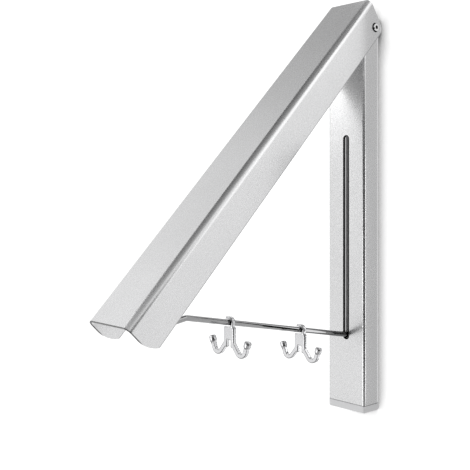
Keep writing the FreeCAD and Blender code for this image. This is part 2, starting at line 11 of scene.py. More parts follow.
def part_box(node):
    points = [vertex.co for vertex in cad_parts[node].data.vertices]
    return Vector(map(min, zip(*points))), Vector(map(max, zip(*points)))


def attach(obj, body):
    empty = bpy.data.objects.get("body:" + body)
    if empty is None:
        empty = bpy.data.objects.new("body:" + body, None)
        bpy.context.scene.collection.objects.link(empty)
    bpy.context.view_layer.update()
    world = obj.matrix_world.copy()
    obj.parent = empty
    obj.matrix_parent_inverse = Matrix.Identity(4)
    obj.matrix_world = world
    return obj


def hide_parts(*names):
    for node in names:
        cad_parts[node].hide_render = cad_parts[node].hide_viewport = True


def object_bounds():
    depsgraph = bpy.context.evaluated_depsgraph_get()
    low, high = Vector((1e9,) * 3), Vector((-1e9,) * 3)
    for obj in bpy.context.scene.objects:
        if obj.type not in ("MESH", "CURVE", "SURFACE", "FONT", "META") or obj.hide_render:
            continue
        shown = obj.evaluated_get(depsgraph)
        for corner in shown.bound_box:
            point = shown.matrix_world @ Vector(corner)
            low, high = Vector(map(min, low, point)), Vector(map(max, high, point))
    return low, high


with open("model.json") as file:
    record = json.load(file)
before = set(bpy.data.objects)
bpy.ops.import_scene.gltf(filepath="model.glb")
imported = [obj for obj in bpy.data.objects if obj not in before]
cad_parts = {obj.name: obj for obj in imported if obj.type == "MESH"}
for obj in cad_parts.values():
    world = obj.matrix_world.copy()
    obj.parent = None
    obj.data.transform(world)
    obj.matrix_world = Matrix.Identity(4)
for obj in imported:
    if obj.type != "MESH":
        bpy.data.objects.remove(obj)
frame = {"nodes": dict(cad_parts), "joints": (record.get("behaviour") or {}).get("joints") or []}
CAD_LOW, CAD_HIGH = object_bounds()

bl_info = {
    "name": "Folding Clothing Rack",
    "version": (1, 0, 0),
    "blender": (4, 5, 0),
    "location": "3D View > Sidebar > Rack",
    "description": "Dresses the packed clothing rack with its finished pieces, materials and stage",
    "category": "Object",
}

NODES = frame["nodes"]
JOINTS = {joint["name"]: joint for joint in frame["joints"]}
PIN = Vector(JOINTS["cover_fold"]["pos_m"])
ROD_PIVOT = Vector(JOINTS["rod_swing"]["pos_m"])
OPEN_ANGLE = math.radians(JOINTS["cover_fold"]["range_deg"][1])

X_AXIS = Vector((1, 0, 0))
Y_AXIS = Vector((0, 1, 0))
Z_AXIS = Vector((0, 0, 1))
TINY = 1e-5
SOFT_ANGLE = math.radians(40)
BEND_STEP = math.radians(6)
LUG_STEPS = 20
SWEEP_STEPS = 16
END_CORNER_STEPS = 8
SLOT_ROUND_SHARE = 0.998
KNOB_ROUND_SHARE = 0.6
CAST_KEPT_SHARE = 0.35


def closed_cover_box():
    """The cover's lowest and highest corner when it is folded against the wall."""
    turn = Matrix.Rotation(OPEN_ANGLE, 3, "X")
    points = [PIN + turn @ (vertex.co - PIN) for vertex in NODES["cover_channel"].data.vertices]
    low = Vector([min(point[k] for point in points) for k in range(3)])
    high = Vector([max(point[k] for point in points) for k in range(3)])
    return low, high


BASE_LOW, BASE_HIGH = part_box("base_channel")
COVER_LOW, COVER_HIGH = closed_cover_box()
LINER_LOW, LINER_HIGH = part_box("slot_liner")


class RackSizes(bpy.types.PropertyGroup):
    """Sizes of the finished pieces that the frame doesn't give"""

    sheet: FloatProperty(
        name="Sheet thickness", description="Wall of the base and of the cover",
        default=0.0015, min=0.0005, unit="LENGTH")
    cover_corner: FloatProperty(
        name="Cover corner", description="Outer radius of the cover's long front corners",
        default=0.0075, min=0.001, unit="LENGTH")
    cover_flat: FloatProperty(
        name="Cover end flat", description="Straight part of the cover's lower end, next to its front",
        default=0.016, min=0.001, unit="LENGTH")
    cover_rise: FloatProperty(
        name="Cover end rise", description="How far the swept lower end rises to the back",
        default=0.010, min=0.001, unit="LENGTH")
    cover_end_corner: FloatProperty(
        name="Cover end corner", description="Radius of the small corner at the back of the lower end",
        default=0.003, min=0.0005, unit="LENGTH")
    base_corner: FloatProperty(
        name="Base corner", description="Outer radius of the base's long front corners",
        default=0.003, min=0.0005, unit="LENGTH")
    base_lip: FloatProperty(
        name="Base lip", description="Width of the lips that lie against the wall",
        default=0.0055, min=0.001, unit="LENGTH")
    slot_width: FloatProperty(
        name="Slot width", description="Width of the slot in the face of the base",
        default=0.0088, min=0.002, unit="LENGTH")
    liner_border: FloatProperty(
        name="Liner border", description="How far the liner's plate reaches past the ends of the slot",
        default=0.006, min=0.001, unit="LENGTH")
    # Painted shade: width of the darker line painted along the bare ends and edges of the profiles, where
    # the sheet's edge falls into shadow.
    edge_shade_width: FloatProperty(
        name="End line", description="Height of the darker line along the sawn ends of the profiles",
        default=0.0011, min=0, unit="LENGTH")
    edge_break: FloatProperty(
        name="Broken edge", description="Width of the rounding on the cut edges of the sheet",
        default=0.0002, min=0.00005, unit="LENGTH")
    rod_radius: FloatProperty(
        name="Rod radius", description="Radius of the hanging rod",
        default=0.003, min=0.001, unit="LENGTH")
    rod_bend: FloatProperty(
        name="Rod bend", description="Radius of the two bends in the rod",
        default=0.014, min=0.003, unit="LENGTH")
    rod_seat: FloatProperty(
        name="Rod seat", description="How deep the rod's outer end sits in its sleeve",
        default=0.0003, min=0, unit="LENGTH")
    rod_overrun: FloatProperty(
        name="Rod overrun", description="How far the rod's inner end reaches past its cross pin",
        default=0.0045, min=0.001, unit="LENGTH")
    crank_start: FloatProperty(
        name="Crank start", description="Distance of the first bend from the rod's pivot, along the chord",
        default=0.060, min=0.01, unit="LENGTH")
    crank_finish: FloatProperty(
        name="Crank finish", description="Distance of the second bend from the rod's pivot, along the chord",
        default=0.078, min=0.01, unit="LENGTH")
    crank_start_rise: FloatProperty(
        name="Crank start rise", description="Height of the first bend above the chord",
        default=0.0012, unit="LENGTH")
    crank_finish_rise: FloatProperty(
        name="Crank finish rise", description="Height of the second bend above the chord",
        default=0.0070, unit="LENGTH")
    hook_thick: FloatProperty(
        name="Hook thickness", description="Thickness of the hook's ring, plate and arms along the rod",
        default=0.0046, min=0.001, unit="LENGTH")
    hook_ring: FloatProperty(
        name="Hook ring", description="Outer radius of the ring that clips over the rod",
        default=0.0065, min=0.004, unit="LENGTH")
    hook_bore: FloatProperty(
        name="Hook bore", description="Radius of the ring's bore",
        default=0.0039, min=0.003, unit="LENGTH")
    hook_lip: FloatProperty(
        name="Hook lip", description="How far the ring's flat lip reaches over the rod",
        default=0.0036, min=0.001, unit="LENGTH")
    hook_plate: FloatProperty(
        name="Hook plate", description="Width of the plate below the ring",
        default=0.0152, min=0.004, unit="LENGTH")
    hook_plate_drop: FloatProperty(
        name="Plate drop", description="Lower end of the plate below the ring's centre",
        default=0.025, min=0.01, unit="LENGTH")
    hook_notch: FloatProperty(
        name="Notch width", description="Width of the notch that splits the plate's lower end",
        default=0.006, min=0.001, unit="LENGTH")
    hook_notch_rise: FloatProperty(
        name="Notch rise", description="Height of the notch",
        default=0.008, min=0.001, unit="LENGTH")
    hook_arm: FloatProperty(
        name="Arm width", description="Width of the flat-fronted arms",
        default=0.0046, min=0.001, unit="LENGTH")
    hook_root: FloatVectorProperty(
        name="Arm root", description="Start of the arm's middle line, out from and below the ring's centre",
        default=(0.0053, 0.021), size=2, unit="LENGTH")
    hook_corner: FloatVectorProperty(
        name="Arm corner", description="Corner of the arm's middle line before its bend is rounded",
        default=(0.0196, 0.0385), size=2, unit="LENGTH")
    hook_tip: FloatVectorProperty(
        name="Arm tip", description="End of the arm's middle line, in the knob's middle",
        default=(0.026, 0.0195), size=2, unit="LENGTH")
    hook_bend: FloatProperty(
        name="Arm bend", description="Radius of the arm's bend, at its middle line",
        default=0.0065, min=0.003, unit="LENGTH")
    hook_knob: FloatProperty(
        name="Knob", description="Diameter and length of the round knob",
        default=0.0078, min=0.003, unit="LENGTH")
    hook_grain: FloatProperty(
        name="Hook mesh", description="Size of the facets of the cast hook",
        default=0.0004, min=0.0002, unit="LENGTH")


class RackFinish(bpy.types.PropertyGroup):
    """Colours and gloss of the finishes"""

    aluminium: FloatVectorProperty(
        name="Aluminium", description="Colour of the satin aluminium",
        subtype="COLOR", size=3, min=0, max=1, default=(0.62, 0.62, 0.625))
    aluminium_roughness: FloatProperty(
        name="Aluminium roughness", description="Mean roughness of the satin aluminium",
        default=0.27, min=0, max=1, subtype="FACTOR")
    # Painted shade: how dark the line painted along the cover's lower end is.
    cover_end_shade: FloatProperty(
        name="Cover end", description="Brightness of the cover's sawn lower end, as a share of the sheet's",
        default=0.22, min=0, max=1, subtype="FACTOR")
    # Painted shade: how dark the line painted along the cover's back edges is.
    cover_back_shade: FloatProperty(
        name="Cover back", description="Brightness of the cover's back edges, as a share of the sheet's",
        default=0.55, min=0, max=1, subtype="FACTOR")
    # Painted shade: how dark the line painted along the base's lower end is.
    base_end_shade: FloatProperty(
        name="Base end", description="Brightness of the base's sawn lower end, as a share of the sheet's",
        default=0.45, min=0, max=1, subtype="FACTOR")
    rod: FloatVectorProperty(
        name="Rod", description="Colour of the polished rod",
        subtype="COLOR", size=3, min=0, max=1, default=(0.27, 0.27, 0.273))
    hook: FloatVectorProperty(
        name="Hook", description="Colour of the cast hooks and of the small screws",
        subtype="COLOR", size=3, min=0, max=1, default=(0.62, 0.62, 0.63))
    screw: FloatVectorProperty(
        name="Screws", description="Colour of the hinge screws",
        subtype="COLOR", size=3, min=0, max=1, default=(0.92, 0.92, 0.92))
    # Painted shade: size and darkness of the dark disc painted into each hinge screw's head where its socket
    # is.
    socket_radius: FloatProperty(
        name="Socket", description="Radius of the dark socket in the head of a hinge screw",
        default=0.0021, min=0, unit="LENGTH")
    socket_shade: FloatProperty(
        name="Socket tone", description="Brightness of the socket, as a share of the screw's",
        default=0.03, min=0, max=1, subtype="FACTOR")
    # Painted shade: how dark the hooks' sharp ridges are painted.
    ridge_shade: FloatProperty(
        name="Ridge tone", description="Brightness of the hooks' sharp ridges, as a share of the metal's",
        default=0.15, min=0, max=1, subtype="FACTOR")
    black: FloatVectorProperty(
        name="Black", description="Colour of the black plastic and rubber",
        subtype="COLOR", size=3, min=0, max=1, default=(0.006, 0.006, 0.007))
    black_gloss: FloatProperty(
        name="Black gloss", description="Strength of the black pieces' reflections",
        default=0.03, min=0, max=1, subtype="FACTOR")
    grey: FloatVectorProperty(
        name="Grey", description="Colour of the plastic cap",
        subtype="COLOR", size=3, min=0, max=1, default=(0.80, 0.80, 0.81))
    nylon: FloatVectorProperty(
        name="Nylon", description="Colour of the nylon rollers",
        subtype="COLOR", size=3, min=0, max=1, default=(0.75, 0.74, 0.71))
    zinc: FloatVectorProperty(
        name="Zinc", description="Colour of the zinc-plated brackets",
        subtype="COLOR", size=3, min=0, max=1, default=(0.55, 0.57, 0.60))


class RackStage(bpy.types.PropertyGroup):
    """Camera, light and backdrop"""

    turn: FloatProperty(
        name="Camera turn", description="Angle of the camera round the rack, from straight in front",
        default=math.radians(47.0931), subtype="ANGLE")
    distance: FloatProperty(
        name="Camera distance", description="Level distance from the camera to the origin, along the view",
        default=0.964166, min=0.1, unit="LENGTH")
    aside: FloatProperty(
        name="Camera aside", description="How far the view's axis passes to the left of the origin",
        default=0.149818, unit="LENGTH")
    height: FloatProperty(
        name="Camera height", description="Height of the camera below the hinge pin",
        default=0.190052, unit="LENGTH")
    focal_pixels: FloatProperty(
        name="Focal length", description="Focal length in widths of a pixel of the square picture",
        default=803.406, min=1, subtype="PIXEL")
    horizon_pixel: FloatProperty(
        name="Horizon", description="Row of the picture in which the camera's horizon lies",
        default=191.21, subtype="PIXEL")
    background: FloatProperty(
        name="Background", description="Brightness of the backdrop to the camera",
        default=1.0, min=0)
    ambient: FloatProperty(
        name="Ambient", description="Brightness of the room's even light",
        default=0.55, min=0)
    key: FloatProperty(
        name="Key light", description="Power of the large soft lamp at the left",
        default=16.0, min=0, subtype="POWER")
    key_place: FloatVectorProperty(
        name="Key place", description="Middle of the soft lamp, from the middle of the wall screws",
        default=(-1.3, -1.5, 1.1), size=3, subtype="XYZ", unit="LENGTH")
    key_size: FloatProperty(
        name="Key size", description="Width and height of the soft lamp",
        default=1.4, min=0.1, unit="LENGTH")
    wall_size: FloatProperty(
        name="Wall size", description="Width and height of the wall",
        default=4.0, min=0.1, unit="LENGTH")
    wall_gap: FloatProperty(
        name="Wall gap", description="Distance from the back of the rack to the wall",
        default=0.0006, min=0, unit="LENGTH")
    wall_glow: FloatProperty(
        name="Wall glow", description="Brightness of the open wall",
        default=0.82, min=0)
    wall_shadow: FloatProperty(
        name="Wall shadow", description="Brightness of the wall in the deepest corner",
        default=0.02, min=0)
    shadow_reach: FloatProperty(
        name="Shadow reach", description="How far the contact shadow spreads on the wall",
        default=0.03, min=0.001, unit="LENGTH")
    floor_size: FloatProperty(
        name="Floor size", description="Width and depth of the floor",
        default=8.0, min=0.1, unit="LENGTH")
    floor_drop: FloatProperty(
        name="Floor drop", description="Height of the origin above the floor",
        default=1.6, min=0.1, unit="LENGTH")


PICTURE_PIXELS = 470
SENSOR_MILLIMETRES = 36


def sizes():
    """The sizes in the sidebar."""
    return bpy.context.scene.rack_sizes


def finish():
    """The colours and gloss in the sidebar."""
    return bpy.context.scene.rack_finish


def stage():
    """The camera, light and backdrop in the sidebar."""
    return bpy.context.scene.rack_stage


# Modelling by hand


def only(piece):
    """Make a piece the one that is selected and active."""
    bpy.ops.object.select_all(action="DESELECT")
    piece.select_set(True)
    bpy.context.view_layer.objects.active = piece


def named(name):
    """Name the active object, and put its place into its mesh."""
    piece = bpy.context.active_object
    piece.name = name
    piece.data.name = name
    bpy.ops.object.transform_apply(location=True, rotation=True, scale=True)
    return piece


def new_box(name, low, high):
    """A box between two corners, to start a piece from."""
    bpy.ops.object.select_all(action="DESELECT")
    bpy.ops.mesh.primitive_cube_add(size=1, location=(low + high) / 2, scale=high - low)
    return named(name)


def new_cylinder(name, radius, start, end, sides=48):
    """A cylinder between two points, to start a piece from."""
    bpy.ops.object.select_all(action="DESELECT")
    way = end - start
    turn = way.to_track_quat("Z", "Y").to_euler()
    bpy.ops.mesh.primitive_cylinder_add(
        vertices=sides, radius=radius, depth=way.length, location=(start + end) / 2, rotation=turn)
    return named(name)


def new_ring(name, radius, centre, normal, sides=32):
    """A filled circle, to extrude a bar from."""
    bpy.ops.object.select_all(action="DESELECT")
    turn = normal.to_track_quat("Z", "Y").to_euler()
    bpy.ops.mesh.primitive_circle_add(
        vertices=sides, radius=radius, fill_type="NGON", location=centre, rotation=turn)
    return named(name)


def new_section(name, width, depth, centre, normal):
    """A flat rectangle of a width in the XZ plane and a depth along Y, to extrude a bar from."""
    bpy.ops.object.select_all(action="DESELECT")
    turn = normal.to_track_quat("Z", "Y").to_euler()
    bpy.ops.mesh.primitive_plane_add(size=1, location=centre, rotation=turn)
    bpy.context.active_object.scale = (depth, width, 1)
    return named(name)


def join_up(piece, others):
    """Join other pieces into one."""
    bpy.ops.object.select_all(action="DESELECT")
    for other in others:
        other.select_set(True)
    piece.select_set(True)
    bpy.context.view_layer.objects.active = piece
    bpy.ops.object.join()


def edit(piece):
    """Open a piece in edit mode with nothing selected."""
    only(piece)
    bpy.ops.object.mode_set(mode="EDIT")
    bpy.ops.mesh.select_all(action="DESELECT")


def leave_edit():
    """Go back to object mode."""
    bpy.ops.object.mode_set(mode="OBJECT")


def pick(piece, kind, wanted):
    """Select the vertices, edges or faces for which wanted is true."""
    bpy.ops.mesh.select_mode(type=kind)
    bpy.ops.mesh.select_all(action="DESELECT")
    mesh = bmesh.from_edit_mesh(piece.data)
    for part in {"VERT": mesh.verts, "EDGE": mesh.edges, "FACE": mesh.faces}[kind]:
        if wanted(part):
            part.select_set(True)
    mesh.select_flush_mode()
    bmesh.update_edit_mesh(piece.data)


def middle(edge):
    """Middle of an edge."""
    return (edge.verts[0].co + edge.verts[1].co) / 2


def runs_along(edge, axis):
    """True for an edge that runs along an axis."""
    way = (edge.verts[1].co - edge.verts[0].co).normalized()
    return abs(way.dot(axis)) > 1 - TINY


def apply_modifier(piece, kind, **settings):
    """Finish a piece with a modifier."""
    only(piece)
    modifier = piece.modifiers.new(kind.title(), kind)
    for setting, value in settings.items():
        setattr(modifier, setting, value)
    bpy.ops.object.modifier_apply(modifier=modifier.name)


def cut_away(piece, cutter):
    """Cut one closed piece out of another."""
    apply_modifier(piece, "BOOLEAN", operation="DIFFERENCE", solver="EXACT", object=cutter)
    bpy.data.objects.remove(cutter)


def voxel_skin(piece, size):
    """Melt joined closed pieces into one skin, as a casting."""
    apply_modifier(piece, "REMESH", mode="VOXEL", voxel_size=size)


def round_off(piece, width, segments=5):
    """Round all the sharp edges of a simple solid."""
    apply_modifier(piece, "BEVEL", width=width, segments=segments, limit_method="ANGLE")


def round_edges(piece, width, segments=2):
    """Round the sharp edges of a piece, and keep its flats flat to the light."""
    apply_modifier(
        piece, "BEVEL", width=width, segments=segments, limit_method="ANGLE", angle_limit=SOFT_ANGLE)
    only(piece)
    bpy.ops.object.shade_smooth_by_angle(angle=SOFT_ANGLE)
    apply_modifier(piece, "WEIGHTED_NORMAL", mode="FACE_AREA", weight=90, keep_sharp=True)


def trim(piece, place, outward):
    """Cut off what lies outside a plane."""
    bpy.ops.mesh.select_all(action="SELECT")
    bpy.ops.mesh.bisect(plane_co=place, plane_no=outward, clear_outer=True, threshold=TINY / 100)


def trim_round(piece, centre, radius, start, end, steps):
    """Trim a closed cover's side outline to an arc: angles run from ahead (0) through up (90 degrees)."""
    for k in range(steps + 1):
        angle = start + (end - start) * k / steps
        outward = Vector((0, -math.cos(angle), math.sin(angle)))
        trim(piece, centre + outward * radius, outward)


# The cover


def cover_point(ahead, up):
    """A place on the closed cover, ahead of and above the hinge pin."""
    return PIN + Vector((0, -ahead, up))


def shape_cover():
    """The cover as a bent and trimmed channel, in its closed place."""
    rack = sizes()
    piece = new_box("cover_shell", COVER_LOW, COVER_HIGH)
    edit(piece)
    pick(piece, "FACE", lambda f: f.normal.y > 0.5 or abs(f.normal.z) > 0.5)
    bpy.ops.mesh.delete(type="FACE")
    pick(piece, "EDGE", lambda e: runs_along(e, Z_AXIS) and middle(e).y < COVER_LOW.y + TINY)
    bpy.ops.mesh.bevel(offset=rack.cover_corner, segments=18, profile=0.5, affect="EDGES")

    back = COVER_HIGH.y - PIN.y
    front = PIN.y - COVER_LOW.y
    above = COVER_HIGH.z - PIN.z
    below = PIN.z - COVER_LOW.z
    tangent = math.atan2(above, front) + math.acos(back / math.hypot(front, above))
    trim_round(piece, PIN, back, tangent, math.pi, LUG_STEPS)

    flat_ahead = front - rack.cover_flat
    run = flat_ahead + back
    radius = (run ** 2 + rack.cover_rise ** 2) / (2 * rack.cover_rise)
    centre = cover_point(flat_ahead, radius - below)
    sweep = math.asin(run / radius)
    trim_round(piece, centre, radius, 1.5 * math.pi, 1.5 * math.pi - sweep, SWEEP_STEPS)
    small = rack.cover_end_corner
    small_ahead = small - back
    small_up = radius - below - math.sqrt((radius - small) ** 2 - (small_ahead - flat_ahead) ** 2)
    small_centre = cover_point(small_ahead, small_up)
    small_start = math.pi + math.asin((radius - below - small_up) / (radius - small))
    trim_round(piece, small_centre, small, small_start, math.pi, END_CORNER_STEPS)
    leave_edit()
    return piece


def make_cover():
    """The swung-out arm: a deep satin channel with rounded long corners and a swept lower end."""
    rack = sizes()
    look = finish()
    piece = shape_cover()
    apply_modifier(piece, "SOLIDIFY", thickness=rack.sheet, offset=-1, use_even_offset=True)
    reach = COVER_HIGH.x - COVER_LOW.x
    hole = new_cylinder("cutter", hinge_hole_radius(), PIN - X_AXIS * reach, PIN + X_AXIS * reach)
    cut_away(piece, hole)
    edit(piece)
    bpy.ops.mesh.select_all(action="SELECT")
    bpy.ops.transform.rotate(value=OPEN_ANGLE, orient_axis="X", center_override=PIN)
    leave_edit()
    round_edges(piece, rack.edge_break)
    turned_pin = Matrix.Rotation(OPEN_ANGLE, 3, "X") @ PIN
    end = turned_pin + COVER_LOW - PIN
    back = turned_pin + COVER_HIGH - PIN
    material = satin_aluminium("cover_aluminium", OPEN_ANGLE)
    # Painted shade: a darker line along the cover's lower end and along its back edges, where the sheet's
    # edges fall into shadow.
    painted_edge_shade(material, OPEN_ANGLE, "Z", end.z, rack.edge_shade_width, look.cover_end_shade)
    painted_edge_shade(material, OPEN_ANGLE, "Y", back.y, -rack.edge_shade_width, look.cover_back_shade)
    give(piece, material)
    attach(piece, "cover")
    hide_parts("cover_channel")


def hinge_hole_radius():
    """Radius of the bush's barrel in the cover's side wall."""
    side = COVER_HIGH.x - sizes().sheet / 2
    ring = [v.co for v in NODES["hinge_bushes"].data.vertices if v.co.x > side]
    return max(math.hypot(co.y - PIN.y, co.z - PIN.z) for co in ring)


# The base


def make_base():
    """The upright channel on the wall, with its lips and its slot."""
    rack = sizes()
    piece = new_box("base_shell", BASE_LOW, BASE_HIGH)
    edit(piece)
    pick(piece, "FACE", lambda f: f.normal.y > 0.5 or abs(f.normal.z) > 0.5)
    bpy.ops.mesh.delete(type="FACE")
    pick(piece, "EDGE", lambda e: runs_along(e, Z_AXIS) and middle(e).y < BASE_LOW.y + TINY)
    bpy.ops.mesh.bevel(offset=rack.base_corner, segments=12, profile=0.5, affect="EDGES")
    for side in (-1, 1):
        pick(piece, "EDGE", lambda e: (
            runs_along(e, Z_AXIS) and middle(e).y > BASE_HIGH.y - TINY
            and middle(e).x * side > BASE_HIGH.x - rack.base_lip / 2))
        bpy.ops.mesh.extrude_edges_move(TRANSFORM_OT_translate={"value": (-side * rack.base_lip, 0, 0)})
    leave_edit()
    apply_modifier(piece, "SOLIDIFY", thickness=rack.sheet, offset=-1, use_even_offset=True)
    cut_away(piece, slot_cutter())
    reach = BASE_HIGH.x - BASE_LOW.x
    # The screw's hole is half as wide as the tube that the screw goes into.
    tube_low, tube_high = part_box("hinge_tube")
    hole_radius = (tube_high.z - tube_low.z) / 4
    cut_away(piece, new_cylinder("cutter", hole_radius, PIN - X_AXIS * reach, PIN + X_AXIS * reach))
    round_edges(piece, rack.edge_break)
    material = satin_aluminium("base_aluminium", 0)
    # Painted shade: a darker line along the base's lower end, where the sheet's edge falls into shadow.
    painted_edge_shade(material, 0, "Z", BASE_LOW.z, rack.edge_shade_width, finish().base_end_shade)
    give(piece, material)
    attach(piece, "root")
    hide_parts("base_channel")


def slot_cutter():
    """A long bar with round ends, the shape of the slot."""
    rack = sizes()
    half = rack.slot_width / 2
    depth = rack.sheet * 4
    low = Vector((-half, BASE_LOW.y - depth, LINER_LOW.z + rack.liner_border))
    high = Vector((half, BASE_LOW.y + depth, LINER_HIGH.z - rack.liner_border))
    cutter = new_box("cutter", low, high)
    edit(cutter)
    pick(cutter, "EDGE", lambda e: runs_along(e, Y_AXIS))
    bpy.ops.mesh.bevel(offset=half * SLOT_ROUND_SHARE, segments=16, profile=0.5, affect="EDGES")
    leave_edit()
    return cutter


# The rod


def extrude_along(way):
    """Extrude the selected ring straight on."""
    bpy.ops.mesh.extrude_region_move(TRANSFORM_OT_translate={"value": way})


def follow(piece, points, bend):
    """Extrude a flat section through points, and spin it round each bend."""
    edit(piece)
    pick(piece, "FACE", lambda f: True)
    here = points[0]
    way = (points[1] - points[0]).normalized()
    for corner, after in zip(points[1:], points[2:]):
        onward = (after - corner).normalized()
        turn = way.angle(onward)
        short = bend * math.tan(turn / 2)
        extrude_along(corner - way * short - here)
        axis = way.cross(onward).normalized()
        centre = corner - way * short + axis.cross(way) * bend
        steps = max(4, round(turn / BEND_STEP))
        bpy.ops.mesh.spin(steps=steps, angle=-turn, center=centre, axis=axis)
        here = corner + onward * short
        way = onward
    extrude_along(points[-1] - here)
    bpy.ops.mesh.select_all(action="SELECT")
    bpy.ops.mesh.normals_make_consistent(inside=False)
    leave_edit()


def rod_points():
    """The rod's course: its ends and the two corners of its crank."""
    rack = sizes()
    pin_low, pin_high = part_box("cross_pin")
    end = (pin_low + pin_high) / 2
    along = (end - ROD_PIVOT).normalized()
    above = Vector((0, -along.z, along.y))
    first = ROD_PIVOT + along * rack.crank_start + above * rack.crank_start_rise
    second = ROD_PIVOT + along * rack.crank_finish + above * rack.crank_finish_rise
    overrun = (end - second).normalized() * rack.rod_overrun
    return [ROD_PIVOT, first, second, end + overrun]


def make_rod():
    """The polished hanging rod with its cranked outer end."""
    rack = sizes()
    points = rod_points()
    sleeve_low, sleeve_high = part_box("rod_sleeve")
    sleeve_radius = (sleeve_high.z - sleeve_low.z) / 2
    start = points[0] + (points[1] - points[0]).normalized() * (sleeve_radius - rack.rod_seat)
    piece = new_ring("rod_bar", rack.rod_radius, start, points[1] - start)
    follow(piece, [start] + points[1:], rack.rod_bend)
    round_edges(piece, rack.edge_break * 2, 3)
    give(piece, polished_steel("rod_steel"))
    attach(piece, "rod")
    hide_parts("hanging_rod")


# The hooks


def hook_place(name):
    """Centre of a hook's ring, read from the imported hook."""
    low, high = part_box(name)
    return Vector((0, (low.y + high.y) / 2, high.z - sizes().hook_ring))


def hook_point(centre, out_and_down):
    """A place on the right half of a hook."""
    out, down = out_and_down
    return centre + Vector((out, 0, -down))


def hook_clip(centre):
    """The ring that clips over the rod, open at its left side under a flat lip."""
    rack = sizes()
    half = Y_AXIS * (rack.hook_thick / 2)
    ring = new_cylinder("hook_ring", rack.hook_ring, centre - half, centre + half)
    lip = new_box("hook_lip", centre - half - X_AXIS * rack.hook_lip,
                  centre + half + Z_AXIS * rack.hook_ring)
    join_up(ring, [lip])
    voxel_skin(ring, rack.hook_grain)
    cut_away(ring, new_cylinder("cutter", rack.hook_bore, centre - half * 2, centre + half * 2))
    way = Vector((rack.hook_ring * 2, rack.hook_thick, rack.hook_bore))
    cut_away(ring, new_box("cutter", centre - way, centre + Vector((0, way.y, way.z))))
    return ring


def hook_plate(centre):
    """The plate below the ring, split by a notch."""
    rack = sizes()
    half = rack.hook_thick / 2
    low = centre + Vector((-rack.hook_plate / 2, -half, -rack.hook_plate_drop))
    high = centre + Vector((rack.hook_plate / 2, half, -rack.hook_bore))
    plate = new_box("hook_plate", low, high)
    round_off(plate, half / 2)
    notch_low = Vector((-rack.hook_notch / 2, low.y - half, low.z - half))
    notch_high = Vector((rack.hook_notch / 2, high.y + half, low.z + rack.hook_notch_rise))
    cut_away(plate, new_box("cutter", notch_low, notch_high))
    return plate


def hook_arm(centre):
    """The right arm with its knob."""
    rack = sizes()
    places = (rack.hook_root, rack.hook_corner, rack.hook_tip)
    root, corner, tip = [hook_point(centre, place) for place in places]
    way = (corner - root).normalized()
    arm = new_section("hook_arm", rack.hook_arm, rack.hook_thick, root, way)
    follow(arm, [root, corner, tip], rack.hook_bend)
    onward = (tip - corner).normalized()
    half = rack.hook_knob / 2
    knob = new_cylinder("hook_knob", half, tip - onward * half, tip + onward * half)
    round_off(knob, half * KNOB_ROUND_SHARE)
    join_up(arm, [knob])
    return arm


def make_hook_body():
    """A cast double hook: a clip over the rod, a plate, and two flat-fronted arms with round knobs."""
    rack = sizes()
    centre = hook_place("front_hook")
    arm = hook_arm(centre)
    apply_modifier(arm, "MIRROR", use_mirror_merge=False)
    hook = hook_clip(centre)
    join_up(hook, [hook_plate(centre), arm])
    hook.name = "front_hook_cast"
    voxel_skin(hook, rack.hook_grain)
    apply_modifier(hook, "SMOOTH", factor=0.5, iterations=8)
    apply_modifier(hook, "DECIMATE", ratio=CAST_KEPT_SHARE)
    only(hook)
    bpy.ops.object.shade_smooth()
    return hook


def make_hooks():
    """Both hooks: the rear one is a copy of the front one."""
    front = make_hook_body()
    only(front)
    bpy.ops.object.duplicate()
    rear = bpy.context.active_object
    rear.name = "rear_hook_cast"
    bpy.ops.transform.translate(value=hook_place("rear_hook") - hook_place("front_hook"))
    bpy.ops.object.transform_apply(location=True, rotation=True, scale=True)
    metal = cast_metal("cast_metal")
    for hook, name in ((front, "front_hook"), (rear, "rear_hook")):
        give(hook, metal)
        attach(hook, name)
        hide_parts(name)


# Finishes

NOISE_RANGE = (0.3, 0.7)
FINE_SHARE = 0.7
GLOSS_SWING = 0.12
BUMP_STRENGTH = 0.4
# Painted shade: the socket's dark disc fades out between its radius and this share of it.
SOCKET_SHADE_EDGE = 1.12
# Painted shade: the pointiness over which the hooks' ridges are painted darker.
RIDGE_SHADE_RANGE = (0.505, 0.545)
SHADOW_RANGE = (0.40, 0.77)


def give(piece, material):
    """Give a piece one material all over."""
    piece.data.materials.clear()
    piece.data.materials.append(material)


def new_material(name):
    """A material, its nodes, its links and its shader."""
    material = bpy.data.materials.new(name)
    material.use_nodes = True
    nodes = material.node_tree.nodes
    return material, nodes, material.node_tree.links, nodes["Principled BSDF"]


def noise_from(nodes, links, source, scale, detail):
    """A noise pattern of a scale in features per metre."""
    noise = nodes.new("ShaderNodeTexNoise")
    noise.inputs["Scale"].default_value = scale
    noise.inputs["Detail"].default_value = detail
    links.new(source, noise.inputs["Vector"])
    return noise.outputs["Fac"]


def ramped(nodes, links, source, start, finish_at, first, last):
    """Values that run from first to last while the source runs from start to finish_at."""
    span = nodes.new("ShaderNodeMapRange")
    for key, value in zip(("From Min", "From Max", "To Min", "To Max"), (start, finish_at, first, last)):
        span.inputs[key].default_value = value
    links.new(source, span.inputs["Value"])
    return span.outputs["Result"]


def spread(nodes, links, source, low, high):
    """Turn a noise pattern into values between low and high."""
    return ramped(nodes, links, source, *NOISE_RANGE, low, high)


def tinted(nodes, links, factor, colour, dark, light):
    """A colour that a pattern varies between a darker and a lighter share of itself."""
    mix = nodes.new("ShaderNodeMix")
    mix.data_type = "RGBA"
    mix.inputs["A"].default_value = [share * dark for share in colour] + [1]
    mix.inputs["B"].default_value = [min(1, share * light) for share in colour] + [1]
    links.new(factor, mix.inputs["Factor"])
    return mix.outputs["Result"]


